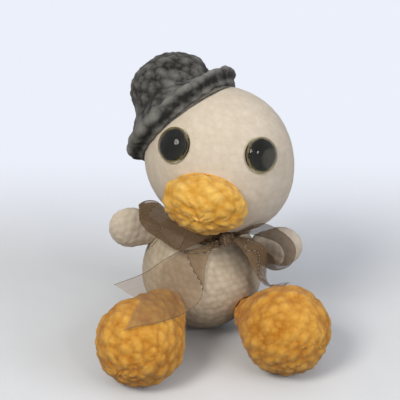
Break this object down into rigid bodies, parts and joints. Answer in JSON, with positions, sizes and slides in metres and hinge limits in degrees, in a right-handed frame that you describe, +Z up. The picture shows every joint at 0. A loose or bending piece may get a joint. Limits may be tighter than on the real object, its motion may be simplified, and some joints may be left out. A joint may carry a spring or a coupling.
{
  "type": "plush duck",
  "caption": "Sitting crocheted plush duck with stuffed body, tilting head, small hat, soft beak, domed safety eyes, flapping wings, hinged legs and a sheer ribbon bow.",
  "frame": {"origin": "centre of the flat underside of the body, on the table", "axes": "+Z up, -Y out of the duck's face, +X to the duck's own left"},
  "size_m": [0.1068, 0.1071, 0.1332],
  "materials": {
    "cream_yarn": "cream chenille yarn, crocheted in rounds, matte and slightly furry",
    "hat_yarn": "charcoal grey chenille yarn, crocheted, matte and lumpy",
    "beak_yarn": "yellow chenille yarn, crocheted, with small dark gaps between stitches",
    "foot_yarn": "orange-yellow chenille yarn, crocheted, with small dark gaps between stitches",
    "stuffing": "loose white polyester fibre",
    "eye_clear": "clear moulded plastic dome, polished",
    "eye_black": "black moulded plastic",
    "washer_plastic": "white moulded plastic",
    "ribbon_organza": "sheer taupe organza with fine woven edges"
  },
  "bodies": {
    "torso": {"body_cover": "cream_yarn", "body_stuffing": "stuffing", "wing_left_stitches": "cream_yarn", "wing_right_stitches": "cream_yarn", "ribbon_neckband": "ribbon_organza", "ribbon_knot": "ribbon_organza", "ribbon_loop_left": "ribbon_organza", "ribbon_loop_right": "ribbon_organza", "ribbon_tail_left": "ribbon_organza", "ribbon_tail_right": "ribbon_organza"},
    "neck_core": {"neck_stuffing": "stuffing"},
    "neck_seam": {"neck_stitches": "cream_yarn"},
    "head": {"head_cover": "cream_yarn", "head_stuffing": "stuffing", "beak_cover": "beak_yarn", "beak_stuffing": "stuffing", "beak_stitches": "beak_yarn", "hat_cover": "hat_yarn", "hat_stuffing": "stuffing", "hat_stitches": "hat_yarn", "eye_left_lens": "eye_clear", "eye_left_pupil": "eye_black", "eye_left_washer": "washer_plastic", "eye_right_lens": "eye_clear", "eye_right_pupil": "eye_black", "eye_right_washer": "washer_plastic"},
    "wing_left": {"wing_left_cover": "cream_yarn", "wing_left_stuffing": "stuffing"},
    "wing_right": {"wing_right_cover": "cream_yarn", "wing_right_stuffing": "stuffing"},
    "leg_left_root": {"leg_left_stitches": "foot_yarn"},
    "leg_left": {"leg_left_cover": "foot_yarn", "leg_left_stuffing": "stuffing"},
    "leg_right_root": {"leg_right_stitches": "foot_yarn"},
    "leg_right": {"leg_right_cover": "foot_yarn", "leg_right_stuffing": "stuffing"}
  },
  "joints": [
    {"name": "neck_turn", "type": "hinge", "parent": "torso", "child": "neck_core", "pos_m": [0.00245, -0.00108, 0.0574], "axis": [0.1561, -0.0698, 0.9853], "range_deg": [-25, 25], "stiffness_Nm_per_rad": 0.08, "deforming": ["neck_stitches", "ribbon_neckband", "ribbon_knot", "ribbon_loop_left", "ribbon_loop_right"]},
    {"name": "neck_nod", "type": "hinge", "parent": "neck_core", "child": "neck_seam", "pos_m": [0.00245, -0.00108, 0.0574], "axis": [0.9877, 0, -0.1564], "range_deg": [-12, 12], "stiffness_Nm_per_rad": 0.08},
    {"name": "neck_tilt", "type": "hinge", "parent": "neck_seam", "child": "head", "pos_m": [0.00245, -0.00108, 0.0574], "axis": [0.0109, 0.9976, 0.0689], "range_deg": [-10, 6], "stiffness_Nm_per_rad": 0.08},
    {"name": "wing_left_flap", "type": "hinge", "parent": "torso", "child": "wing_left", "pos_m": [0.03019, -0.00342, 0.04358], "axis": [-0.1045, -0.9945, 0], "range_deg": [-5, 30], "stiffness_Nm_per_rad": 0.02, "deforming": ["wing_left_stitches"]},
    {"name": "wing_right_flap", "type": "hinge", "parent": "torso", "child": "wing_right", "pos_m": [-0.02667, -0.00332, 0.05084], "axis": [-0.1045, 0.9945, 0], "range_deg": [-15, 30], "stiffness_Nm_per_rad": 0.02, "deforming": ["wing_right_stitches"]},
    {"name": "leg_left_spread", "type": "hinge", "parent": "torso", "child": "leg_left_root", "pos_m": [0.0245, -0.02673, 0.01791], "axis": [0, 0, 1], "range_deg": [-12, 16], "stiffness_Nm_per_rad": 0.12, "deforming": ["leg_left_stitches"]},
    {"name": "leg_left_lift", "type": "hinge", "parent": "leg_left_root", "child": "leg_left", "pos_m": [0.0245, -0.02673, 0.01791], "axis": [-0.7373, -0.6756, 0], "range_deg": [-30, 20], "stiffness_Nm_per_rad": 0.12, "deforming": ["ribbon_tail_left"]},
    {"name": "leg_right_spread", "type": "hinge", "parent": "torso", "child": "leg_right_root", "pos_m": [-0.01907, -0.0344, 0.0244], "axis": [0, 0, -1], "range_deg": [-12, 20], "stiffness_Nm_per_rad": 0.12, "deforming": ["leg_right_stitches"]},
    {"name": "leg_right_lift", "type": "hinge", "parent": "leg_right_root", "child": "leg_right", "pos_m": [-0.01907, -0.0344, 0.0244], "axis": [-0.8746, 0.4848, 0], "range_deg": [-30, 45], "stiffness_Nm_per_rad": 0.12, "deforming": ["ribbon_tail_right"]}
  ]
}
